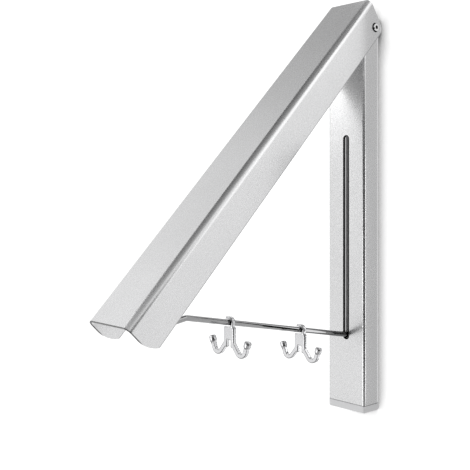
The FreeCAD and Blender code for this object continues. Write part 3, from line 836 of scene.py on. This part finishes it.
def bumped(nodes, links, height, distance, strength):
    """A bump from a height pattern."""
    bump = nodes.new("ShaderNodeBump")
    bump.inputs["Strength"].default_value = strength
    bump.inputs["Distance"].default_value = distance
    links.new(height, bump.inputs["Height"])
    return bump.outputs["Normal"]


def mapped(nodes, links, turn=0.0, stretch=(1, 1, 1)):
    """Object coordinates, turned about X and stretched."""
    place = nodes.new("ShaderNodeTexCoord")
    mapping = nodes.new("ShaderNodeMapping")
    mapping.inputs["Rotation"].default_value = (turn, 0, 0)
    mapping.inputs["Scale"].default_value = stretch
    links.new(place.outputs["Object"], mapping.inputs["Vector"])
    return mapping.outputs["Vector"]


def grained(name, colour, metallic, roughness, grain, depth, contrast=0.06, cloud=14, turn=0.0,
            stretch=(1, 1, 1), gloss=0.5):
    """A finish with a fine grain, a faint cloudiness, and gloss that follows both.

    The grain and the cloud are in features per metre, and the depth is in metres.
    """
    material, nodes, links, shader = new_material(name)
    place = mapped(nodes, links, turn, stretch)
    fine = noise_from(nodes, links, place, grain, 3)
    broad = noise_from(nodes, links, place, cloud, 2)
    both = nodes.new("ShaderNodeMath")
    both.operation = "MULTIPLY_ADD"
    both.inputs[1].default_value = FINE_SHARE
    links.new(fine, both.inputs[0])
    soft = nodes.new("ShaderNodeMath")
    soft.operation = "MULTIPLY"
    soft.inputs[1].default_value = 1 - FINE_SHARE
    links.new(broad, soft.inputs[0])
    links.new(soft.outputs[0], both.inputs[2])
    factor = spread(nodes, links, both.outputs[0], 0, 1)
    tone = tinted(nodes, links, factor, colour, 1 - contrast, 1 + contrast)
    links.new(tone, shader.inputs["Base Color"])
    swing = roughness * GLOSS_SWING
    satin = spread(nodes, links, both.outputs[0], roughness - swing, roughness + swing)
    links.new(satin, shader.inputs["Roughness"])
    links.new(bumped(nodes, links, fine, depth, BUMP_STRENGTH), shader.inputs["Normal"])
    shader.inputs["Metallic"].default_value = metallic
    shader.inputs["Specular IOR Level"].default_value = gloss
    return material


def satin_aluminium(name, turn):
    """Blasted and anodised aluminium: fine bright grain, drawn slightly along the profile."""
    look = finish()
    return grained(
        name, look.aluminium, 1, look.aluminium_roughness, grain=1100, depth=0.000012, contrast=0.09,
        turn=turn, stretch=(1, 1, 0.6))


def shaded(material, share):
    """Scale a material's colour by the share that some node gives."""
    nodes, links = material.node_tree.nodes, material.node_tree.links
    shader = nodes["Principled BSDF"]
    darker = nodes.new("ShaderNodeHueSaturation")
    links.new(shader.inputs["Base Color"].links[0].from_socket, darker.inputs["Color"])
    links.new(share, darker.inputs["Value"])
    links.new(darker.outputs["Color"], shader.inputs["Base Color"])


def painted_edge_shade(material, turn, axis, edge, inward, share):
    """Paint a thin line of shade along a bare edge of the profile, square to an axis: painted shade where
    the sheet's edge falls into shadow.
    """
    nodes, links = material.node_tree.nodes, material.node_tree.links
    split = nodes.new("ShaderNodeSeparateXYZ")
    links.new(mapped(nodes, links, turn), split.inputs[0])
    half_way = edge + inward / 2
    shaded(material, ramped(nodes, links, split.outputs[axis], half_way, edge + inward, share, 1))


def screw_heads(name):
    """Bright screw heads round the hinge pin, with a disc of painted shade where each head's socket is."""
    look = finish()
    material = grained(name, look.screw, 1, roughness=0.22, grain=1800, depth=0.00001)
    nodes, links = material.node_tree.nodes, material.node_tree.links
    away = nodes.new("ShaderNodeVectorMath")
    away.operation = "DISTANCE"
    away.inputs[1].default_value = (0, PIN.y, PIN.z)
    links.new(mapped(nodes, links, 0, (0, 1, 1)), away.inputs[0])
    socket = look.socket_radius
    rim = socket * SOCKET_SHADE_EDGE
    # Painted shade: darken the head inside the socket's radius.
    shaded(material, ramped(nodes, links, away.outputs["Value"], socket, rim, look.socket_shade, 1))
    return material


def polished_steel(name):
    """Polished steel, with the faintest of grains."""
    return grained(
        name, finish().rod, 1, roughness=0.045, grain=900, depth=0.000001, contrast=0.04, cloud=30)


def cast_metal(name):
    """Barrelled and nickel-plated casting: soft sheen, slightly uneven skin, and painted shade along its
    sharp ridges.
    """
    look = finish()
    material = grained(
        name, look.hook, 1, roughness=0.22, grain=700, depth=0.00002, contrast=0.08, cloud=60)
    nodes, links = material.node_tree.nodes, material.node_tree.links
    shape = nodes.new("ShaderNodeNewGeometry")
    # Painted shade: darken the colour along convex ridges.
    shaded(material, ramped(nodes, links, shape.outputs["Pointiness"], *RIDGE_SHADE_RANGE, 1, look.ridge_shade))
    return material


WEARERS = {
    "satin_aluminium": ["base_channel", "cover_channel"],
    "black_plastic": ["slot_liner", "hinge_bushes"],
    "black_rubber": ["slot_buffer"],
    "zinc_steel": ["upper_wall_bracket", "lower_wall_bracket", "pivot_bracket", "hinge_washers",
                   "hinge_tube", "rod_sleeve"],
    "grey_plastic": ["bottom_cap"],
    "hinge_steel": ["hinge_screws"],
    "steel_screw": ["lock_screw", "bracket_studs", "bracket_nuts", "pivot_pin",
                    "pivot_clip", "cross_pin"],
    "white_nylon": ["guide_rollers"],
    "polished_rod": ["hanging_rod"],
    "hook_metal": ["front_hook", "rear_hook"],
}


def dress_nodes():
    """Give every carried-over CAD node its finish."""
    look = finish()
    finishes = {
        "black_plastic": grained(
            "black_plastic", look.black, 0, roughness=0.5, grain=1600, depth=0.00002, contrast=0.3,
            gloss=look.black_gloss),
        "black_rubber": grained(
            "black_rubber", look.black, 0, roughness=0.65, grain=1200, depth=0.00003, contrast=0.3,
            gloss=look.black_gloss),
        "zinc_steel": grained(
            "zinc_steel", look.zinc, 1, roughness=0.34, grain=260, depth=0.00001, contrast=0.14),
        "grey_plastic": grained(
            "grey_plastic", look.grey, 0, roughness=0.38, grain=1400, depth=0.00002, contrast=0.03),
        "steel_screw": grained(
            "steel_screw", look.hook, 1, roughness=0.25, grain=1800, depth=0.00001, contrast=0.08),
        "hinge_steel": screw_heads("hinge_steel"),
        "white_nylon": grained(
            "white_nylon", look.nylon, 0, roughness=0.36, grain=1200, depth=0.00001, contrast=0.03),
        "polished_rod": polished_steel("polished_rod"),
        "hook_metal": grained(
            "hook_metal", look.hook, 1, roughness=0.3, grain=1500, depth=0.00001, contrast=0.08),
        "satin_aluminium": satin_aluminium("satin_aluminium", 0),
    }
    for slot, names in WEARERS.items():
        for name in names:
            give(NODES[name], finishes[slot])


# The stage


def add_plane(name, size, place, turn):
    """A square of the backdrop."""
    bpy.ops.object.select_all(action="DESELECT")
    bpy.ops.mesh.primitive_plane_add(size=size, location=place, rotation=turn)
    plane = bpy.context.active_object
    plane.name = name
    return plane


def add_lamp(name, place, target, size, power):
    """A soft square lamp that faces a point."""
    data = bpy.data.lights.new(name, "AREA")
    data.shape = "RECTANGLE"
    data.size = size
    data.size_y = size
    data.energy = power
    lamp = bpy.data.objects.new(name, data)
    bpy.context.scene.collection.objects.link(lamp)
    lamp.location = place
    lamp.rotation_euler = (target - place).to_track_quat("-Z", "Y").to_euler()
    lamp.visible_camera = False


def background_rays(nodes, links):
    """One for the rays that see the background: camera, glossy and transmission rays."""
    path = nodes.new("ShaderNodeLightPath")
    first = nodes.new("ShaderNodeMath")
    first.operation = "MAXIMUM"
    second = nodes.new("ShaderNodeMath")
    second.operation = "MAXIMUM"
    links.new(path.outputs["Is Camera Ray"], first.inputs[0])
    links.new(path.outputs["Is Glossy Ray"], first.inputs[1])
    links.new(first.outputs[0], second.inputs[0])
    links.new(path.outputs["Is Transmission Ray"], second.inputs[1])
    return second.outputs[0]


def wall_material():
    """White wall that keeps a soft contact shadow, and can be seen through from behind.

    Reflections see it evenly bright.
    """
    look = stage()
    material = bpy.data.materials.new("wall")
    material.use_nodes = True
    nodes, links = material.node_tree.nodes, material.node_tree.links
    nodes.clear()
    out = nodes.new("ShaderNodeOutputMaterial")
    diffuse = nodes.new("ShaderNodeBsdfDiffuse")
    diffuse.inputs["Color"].default_value = (0.5, 0.5, 0.5, 1)
    near = nodes.new("ShaderNodeAmbientOcclusion")
    near.inputs["Distance"].default_value = look.shadow_reach
    near.samples = 8
    shade = ramped(nodes, links, near.outputs["AO"], *SHADOW_RANGE, look.wall_shadow, look.wall_glow)
    glow = nodes.new("ShaderNodeEmission")
    rays = nodes.new("ShaderNodeLightPath")
    even = nodes.new("ShaderNodeMix")
    even.inputs["B"].default_value = look.wall_glow
    links.new(rays.outputs["Is Glossy Ray"], even.inputs["Factor"])
    links.new(shade, even.inputs["A"])
    seen = nodes.new("ShaderNodeMath")
    seen.operation = "MULTIPLY"
    links.new(background_rays(nodes, links), seen.inputs[0])
    links.new(even.outputs["Result"], seen.inputs[1])
    links.new(seen.outputs[0], glow.inputs["Strength"])
    both = nodes.new("ShaderNodeAddShader")
    links.new(diffuse.outputs[0], both.inputs[0])
    links.new(glow.outputs[0], both.inputs[1])
    clear = nodes.new("ShaderNodeBsdfTransparent")
    side = nodes.new("ShaderNodeNewGeometry")
    choose = nodes.new("ShaderNodeMixShader")
    links.new(side.outputs["Backfacing"], choose.inputs["Fac"])
    links.new(both.outputs[0], choose.inputs[1])
    links.new(clear.outputs[0], choose.inputs[2])
    links.new(choose.outputs[0], out.inputs["Surface"])
    return material


def floor_material():
    """Pale and dull, with a faint cloudiness."""
    material, nodes, links, shader = new_material("floor")
    place = mapped(nodes, links)
    shade = spread(nodes, links, noise_from(nodes, links, place, 3, 2), 0, 1)
    links.new(tinted(nodes, links, shade, (0.95, 0.95, 0.95), 0.98, 1.02), shader.inputs["Base Color"])
    shader.inputs["Roughness"].default_value = 0.9
    return material


def card_material(name, first, last, curve):
    """A card whose brightness runs from one end of its length to the other, evenly or on a curve."""
    material = bpy.data.materials.new(name)
    material.use_nodes = True
    nodes, links = material.node_tree.nodes, material.node_tree.links
    nodes.clear()
    out = nodes.new("ShaderNodeOutputMaterial")
    glow = nodes.new("ShaderNodeEmission")
    place = nodes.new("ShaderNodeTexCoord")
    split = nodes.new("ShaderNodeSeparateXYZ")
    power = nodes.new("ShaderNodeMath")
    power.operation = "POWER"
    power.inputs[1].default_value = curve
    links.new(place.outputs["Generated"], split.inputs[0])
    links.new(split.outputs["X"], power.inputs[0])
    links.new(ramped(nodes, links, power.outputs[0], 0, 1, first, last), glow.inputs["Strength"])
    links.new(glow.outputs[0], out.inputs["Surface"])
    return material


def add_card(name, place, target, along, size, first, last, curve=1.0):
    """A card that only reflections see: it faces a point, and its length runs along a direction."""
    card = add_plane(name, 1, place, (0, 0, 0))
    facing = (target - place).normalized()
    length = (along - facing * along.dot(facing)).normalized()
    across = facing.cross(length)
    turn = Matrix((length, across, facing)).transposed()
    card.rotation_euler = turn.to_euler()
    card.scale = (size[0], size[1], 1)
    give(card, card_material(name, first, last, curve))
    card.visible_camera = False
    card.visible_diffuse = False
    card.visible_shadow = False


def make_world():
    """White to the eye and in reflections, and an even soft light on everything."""
    look = stage()
    world = bpy.data.worlds.new("studio")
    world.use_nodes = True
    bpy.context.scene.world = world
    nodes, links = world.node_tree.nodes, world.node_tree.links
    sky = nodes["Background"]
    rays = background_rays(nodes, links)
    links.new(ramped(nodes, links, rays, 0, 1, look.ambient, look.background), sky.inputs["Strength"])
    sky.inputs["Color"].default_value = (1, 1, 1, 1)


def make_camera():
    """The photograph's view: level, from the right, with the horizon above the middle."""
    look = stage()
    right = Vector((math.cos(look.turn), math.sin(look.turn), 0))
    view = Vector((-math.sin(look.turn), math.cos(look.turn), 0))
    place = right * -look.aside - view * look.distance
    place.z = PIN.z - look.height
    data = bpy.data.cameras.new("camera")
    data.sensor_width = SENSOR_MILLIMETRES
    data.lens = look.focal_pixels * SENSOR_MILLIMETRES / PICTURE_PIXELS
    data.shift_y = (look.horizon_pixel - PICTURE_PIXELS / 2) / PICTURE_PIXELS
    data.clip_start = 0.01
    camera = bpy.data.objects.new("camera", data)
    bpy.context.scene.collection.objects.link(camera)
    camera.location = place
    camera.rotation_euler = view.to_track_quat("-Z", "Y").to_euler()
    bpy.context.scene.camera = camera


def make_room_cards(centre):
    """Cards round the rack that face its middle, and a small one in the corner under the arm."""
    for name, place, along, size, first, last, curve in (
            ("ceiling_card", (0.15, -0.50, 1.25), X_AXIS, (2.2, 1.1), 0.13, 0.75, 2),
            ("left_card", (-1.20, -0.15, 0.95), -Y_AXIS, (1.9, 0.9), 0.82, 1.10, 1),
            ("low_card", (-0.88, -0.85, -0.42), X_AXIS, (1.8, 0.30), 1.20, 1.20, 1),
            ("left_strip", (-0.156, -0.886, -0.07), Z_AXIS, (0.75, 0.32), 3.2, 3.2, 1),
            ("camera_card", (0.636, -0.636, -0.07), Z_AXIS, (0.75, 1.79), 0.02, 0.02, 1),
            ("right_card", (0.95, -0.15, 0.70), Y_AXIS, (0.6, 0.5), 1.15, 1.15, 1)):
        add_card(name, Vector(place), centre, along, size, first, last, curve)
    inner = Vector((-0.0298, -0.0742, 0.1821))
    add_card("inner_card", inner, inner + X_AXIS, Y_AXIS - Z_AXIS, (0.038, 0.12), 0.38, 0.68, 2)


def make_wall_cards():
    """Lighter and darker patches of wall, which only reflections see."""
    for name, place, along, size, first, last in (
            ("upper_wall_card", (-0.62, -0.002, 0.77), -X_AXIS, (1.2, 1.0), 0.55, 0.75),
            ("near_wall_card", (0.0380, -0.002, 0.02), Z_AXIS, (0.50, 0.038), 0.70, 0.74),
            ("edge_wall_card", (0.0745, -0.002, -0.06), Z_AXIS, (0.30, 0.035), 2.6, 2.6),
            ("dark_wall_card", (0.1300, -0.002, -0.06), Z_AXIS, (0.30, 0.076), 0.02, 0.02),
            ("right_wall_card", (0.523, -0.002, 0.365), Vector((0.858, 0, -0.513)), (0.75, 0.60), 1.7, 1.7),
            ("dim_wall_card", (0.290, -0.003, 1.102), Vector((0.762, 0, 0.648)), (1.20, 0.90), 0.25, 0.25)):
        add_card(name, Vector(place), Vector(place) - Y_AXIS, along, size, first, last)


def make_slot_backing():
    """A dark strip of wall behind the slot, which keeps light from coming through it."""
    height = (LINER_LOW.z + LINER_HIGH.z) / 2
    backing = add_plane("slot_backing", 1, (0, stage().wall_gap / 2, height), (math.radians(90), 0, 0))
    backing.scale = (BASE_HIGH.x - BASE_LOW.x - 3 * sizes().base_lip, LINER_HIGH.z - LINER_LOW.z, 1)
    give(backing, card_material("slot_backing", 0, 0, 1))
    backing.visible_camera = False


def make_stage():
    """The wall and the floor, the light and the camera."""
    look = stage()
    wall = add_plane("wall", look.wall_size, (0, look.wall_gap, 0), (math.radians(90), 0, 0))
    give(wall, wall_material())
    wall.visible_shadow = False
    wall.visible_diffuse = False
    floor = add_plane("floor", look.floor_size, (0, 0, -look.floor_drop), (0, 0, 0))
    give(floor, floor_material())
    centre = (CAD_LOW + CAD_HIGH) / 2
    make_room_cards(centre)
    make_wall_cards()
    make_slot_backing()
    add_lamp("key", Vector(look.key_place), centre, look.key_size, look.key)
    make_world()
    make_camera()


# Operators


class RACK_OT_cover(bpy.types.Operator):
    """Make the swung-out cover"""

    bl_idname = "rack.make_cover"
    bl_label = "Cover"

    def execute(self, context):
        make_cover()
        return {"FINISHED"}


class RACK_OT_base(bpy.types.Operator):
    """Make the base with its slot"""

    bl_idname = "rack.make_base"
    bl_label = "Base"

    def execute(self, context):
        make_base()
        return {"FINISHED"}


class RACK_OT_rod(bpy.types.Operator):
    """Make the hanging rod"""

    bl_idname = "rack.make_rod"
    bl_label = "Rod"

    def execute(self, context):
        make_rod()
        return {"FINISHED"}


class RACK_OT_hooks(bpy.types.Operator):
    """Make the two double hooks"""

    bl_idname = "rack.make_hooks"
    bl_label = "Hooks"

    def execute(self, context):
        make_hooks()
        return {"FINISHED"}


class RACK_OT_finishes(bpy.types.Operator):
    """Give the carried-over pieces their finishes"""

    bl_idname = "rack.dress_pieces"
    bl_label = "Finishes"

    def execute(self, context):
        dress_nodes()
        return {"FINISHED"}


class RACK_OT_stage(bpy.types.Operator):
    """Make the wall, the floor, the light and the camera"""

    bl_idname = "rack.make_stage"
    bl_label = "Stage"

    def execute(self, context):
        make_stage()
        return {"FINISHED"}


OPERATORS = (RACK_OT_finishes, RACK_OT_base, RACK_OT_cover, RACK_OT_rod, RACK_OT_hooks, RACK_OT_stage)


class RACK_PT_panel(bpy.types.Panel):
    """Lists the rack's pieces and their settings"""

    bl_idname = "RACK_PT_panel"
    bl_label = "Clothing Rack"
    bl_space_type = "VIEW_3D"
    bl_region_type = "UI"
    bl_category = "Rack"

    def draw(self, context):
        for operator in OPERATORS:
            self.layout.operator(operator.bl_idname)
        for group in (sizes(), finish(), stage()):
            box = self.layout.box()
            for name in group.__annotations__:
                box.prop(group, name)


GROUPS = {"rack_sizes": RackSizes, "rack_finish": RackFinish, "rack_stage": RackStage}


def register():
    for group in GROUPS.values():
        bpy.utils.register_class(group)
    for name, group in GROUPS.items():
        setattr(bpy.types.Scene, name, PointerProperty(type=group))
    for item in (*OPERATORS, RACK_PT_panel):
        bpy.utils.register_class(item)


def unregister():
    for item in (RACK_PT_panel, *reversed(OPERATORS)):
        bpy.utils.unregister_class(item)
    for name, group in GROUPS.items():
        delattr(bpy.types.Scene, name)
        bpy.utils.unregister_class(group)


def main():
    register()
    bpy.context.scene.view_settings.view_transform = "Standard"
    bpy.ops.rack.dress_pieces()
    bpy.ops.rack.make_base()
    bpy.ops.rack.make_cover()
    bpy.ops.rack.make_rod()
    bpy.ops.rack.make_hooks()
    bpy.ops.rack.make_stage()


if __name__ == "__main__":
    main()
